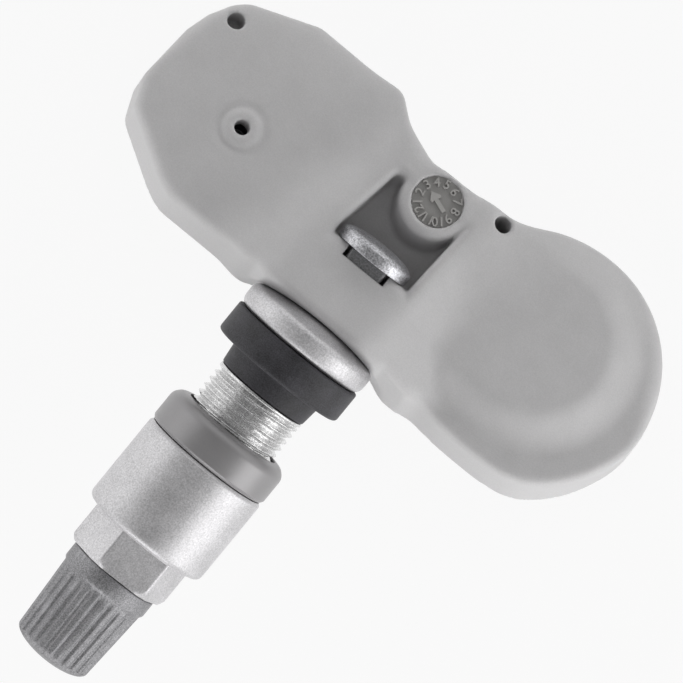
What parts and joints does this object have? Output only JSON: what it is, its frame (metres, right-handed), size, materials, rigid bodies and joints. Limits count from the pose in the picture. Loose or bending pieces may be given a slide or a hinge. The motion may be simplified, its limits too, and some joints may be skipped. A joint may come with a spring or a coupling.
{
  "type": "tyre pressure sensor",
  "caption": "Clamp-in tyre pressure sensor: a two-lobed plastic housing bolted through a round seat to a metal valve with rubber rim seal, collar, union nut, valve core and dust cap.",
  "frame": {"origin": "on the valve stem's axis at the seal's flange face, where the wheel rim's inner face lies", "axes": "-Y along the valve stem towards its dust cap, +Y towards the housing, X along the housing's length with the battery at +X, +Z away from the housing's base"},
  "size_m": [0.0673, 0.0725, 0.0239],
  "materials": {
    "housing": "fine matt grain",
    "cover": "matt potting",
    "board": "solder mask",
    "cell": "plain",
    "tab": "plain",
    "sensor_case": "plain",
    "chip": "moulded",
    "crystal": "plain",
    "winding": "enamelled",
    "capacitor": "plain",
    "aerial": "plain",
    "valve_metal": "satin nickel",
    "nut_metal": "satin nickel",
    "collar_metal": "smooth",
    "cap_metal": "dark satin",
    "bolt_metal": "zinc",
    "seal_rubber": "matt",
    "core_brass": "plain",
    "spring_steel": "plain"
  },
  "bodies": {
    "valve": {"valve_body": "valve_metal", "rim_seal": "seal_rubber", "clamp_bolt": "bolt_metal", "core_body": "core_brass", "core_seal": "seal_rubber", "core_spring": "spring_steel"},
    "housing": {"housing_shell": "housing", "base_cover": "cover", "circuit_board": "board", "battery_cell": "cell", "battery_tab_top": "tab", "battery_tab_base": "tab", "pressure_sensor": "sensor_case", "port_seal": "seal_rubber", "control_chip": "chip", "crystal": "crystal", "wake_up_coil": "winding", "capacitors": "capacitor", "aerial_strip": "aerial"},
    "collar": {"collar_ring": "collar_metal"},
    "nut": {"union_nut": "nut_metal"},
    "gasket": {"cap_gasket": "seal_rubber"},
    "cap": {"dust_cap": "cap_metal"},
    "core_pin": {"core_pin": "core_brass", "pin_cup": "seal_rubber"}
  },
  "joints": [
    {"name": "housing_swivel", "type": "hinge", "parent": "valve", "child": "housing", "pos_m": [0, -0.015, 0], "axis": [1, 0, 0], "range_deg": [-0.2, 3.2]},
    {"name": "collar_slide", "type": "slide", "parent": "valve", "child": "collar", "axis": [0, 1, 0], "range_m": [0, 0.00499]},
    {"name": "nut_turn", "type": "hinge", "parent": "collar", "child": "nut", "pos_m": [0, -0.02, 0], "axis": [0, 1, 0], "range_deg": [0, 1980]},
    {"name": "gasket_slide", "type": "slide", "parent": "valve", "child": "gasket", "axis": [0, -1, 0], "range_m": [0, 0.01032]},
    {"name": "cap_turn", "type": "hinge", "parent": "gasket", "child": "cap", "pos_m": [0, -0.034, 0], "axis": [0, -1, 0], "range_deg": [0, 4680]},
    {"name": "core_press", "type": "slide", "parent": "valve", "child": "core_pin", "axis": [0, 1, 0], "range_m": [0, 0.001], "stiffness_N_per_m": 1500, "springref_m": -0.001, "deforming": ["core_spring"]}
  ],
  "couplings": [
    {"joint": "nut_turn", "follows": "collar_slide", "rad_per_m": 6927.4},
    {"joint": "cap_turn", "follows": "gasket_slide", "rad_per_m": 7913.3}
  ]
}
